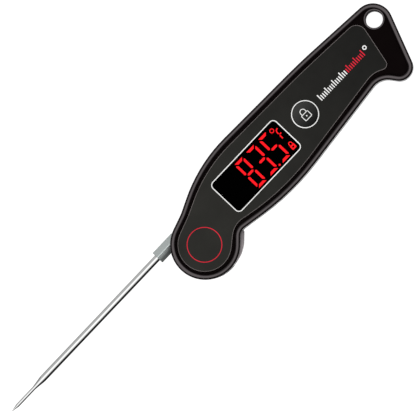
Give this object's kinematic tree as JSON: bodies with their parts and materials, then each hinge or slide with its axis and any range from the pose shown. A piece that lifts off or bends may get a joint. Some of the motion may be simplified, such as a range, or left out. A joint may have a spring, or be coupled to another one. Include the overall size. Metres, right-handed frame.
{
  "type": "folding digital meat thermometer",
  "caption": "Folding kitchen thermometer: a steel needle probe swings out of a slot in a curved handle with a display window, a round button, a rear magnet and a hanging hole.",
  "frame": {"origin": "on the axis of the folding probe, at the flat back face of the handle", "axes": "+X along the handle from the pivot to the hanging hole, +Y towards the straight edge of the handle, +Z out of the display face; the probe is open along -X at rest"},
  "size_m": [0.2759, 0.0474, 0.019],
  "materials": {
    "black_shell": "moulded black ABS with a soft gloss",
    "hub_grey": "moulded grey ABS of the pivoting hub",
    "dark_panel": "satin dark grey printed face",
    "smoked_lens": "polished smoked acrylic",
    "steel": "polished stainless steel",
    "satin_alloy": "satin",
    "rubber": "matt silicone",
    "board_green": "solder-masked glass epoxy",
    "chip_black": "moulded epoxy",
    "brass": "bright",
    "bronze": "sintered bearing bronze",
    "magnet_nickel": "nickel plated",
    "cell_wrap": "plain printed wrap",
    "red_insulation": "satin",
    "black_insulation": "satin",
    "flex_amber": "polyimide film",
    "glass": "clear"
  },
  "bodies": {
    "case": {"rear_cover": "black_shell", "front_cover": "black_shell", "face_panel": "dark_panel", "display_window": "smoked_lens", "display_module": "chip_black", "case_gasket": "rubber", "main_board": "board_green", "controller_chip": "chip_black", "display_driver_chip": "chip_black", "reed_switch": "glass", "button_board": "board_green", "button_ribbon": "flex_amber", "lock_switch": "chip_black", "unit_switch": "chip_black", "battery": "cell_wrap", "positive_contact": "steel", "negative_contact": "steel", "negative_spring": "steel", "battery_lead_red": "red_insulation", "battery_lead_black": "black_insulation", "sensor_lead_red": "red_insulation", "sensor_lead_black": "black_insulation", "rear_magnet": "magnet_nickel", "case_screw_1": "steel", "case_screw_2": "steel", "case_screw_3": "steel", "case_screw_4": "steel", "board_screw_1": "steel", "board_screw_2": "steel", "rear_bush": "bronze", "front_bush": "bronze", "friction_washer": "steel", "axle_seal": "rubber"},
    "probe": {"probe_hub": "hub_grey", "probe_collar": "satin_alloy", "probe_tube": "steel", "sensor_bead": "brass", "probe_lead_red": "red_insulation", "probe_lead_black": "black_insulation", "axle_clip": "steel", "hub_magnet": "magnet_nickel"},
    "lock_key": {"lock_button": "dark_panel", "lock_plunger": "chip_black"},
    "unit_key": {"unit_button": "rubber", "unit_plunger": "chip_black"},
    "battery_hatch": {"battery_door": "black_shell", "door_gasket": "rubber"},
    "hatch_screw": {"door_screw": "steel"}
  },
  "joints": [
    {"name": "probe_fold", "type": "hinge", "parent": "case", "child": "probe", "pos_m": [0, 0, 0.00935], "axis": [0, 0, 1], "range_deg": [0, 184]},
    {"name": "lock_press", "type": "slide", "parent": "case", "child": "lock_key", "axis": [0, 0, -1], "range_m": [0, 0.00035]},
    {"name": "unit_press", "type": "slide", "parent": "case", "child": "unit_key", "axis": [0, 0, 1], "range_m": [0, 0.00035]},
    {"name": "door_open", "type": "hinge", "parent": "case", "child": "battery_hatch", "pos_m": [0.0715, 0.012, 0], "axis": [0, 1, 0], "range_deg": [0, 60]},
    {"name": "door_screw_turn", "type": "hinge", "parent": "battery_hatch", "child": "hatch_screw", "pos_m": [0.1285, 0.012, 0], "axis": [0, 0, 1], "continuous": true}
  ]
}
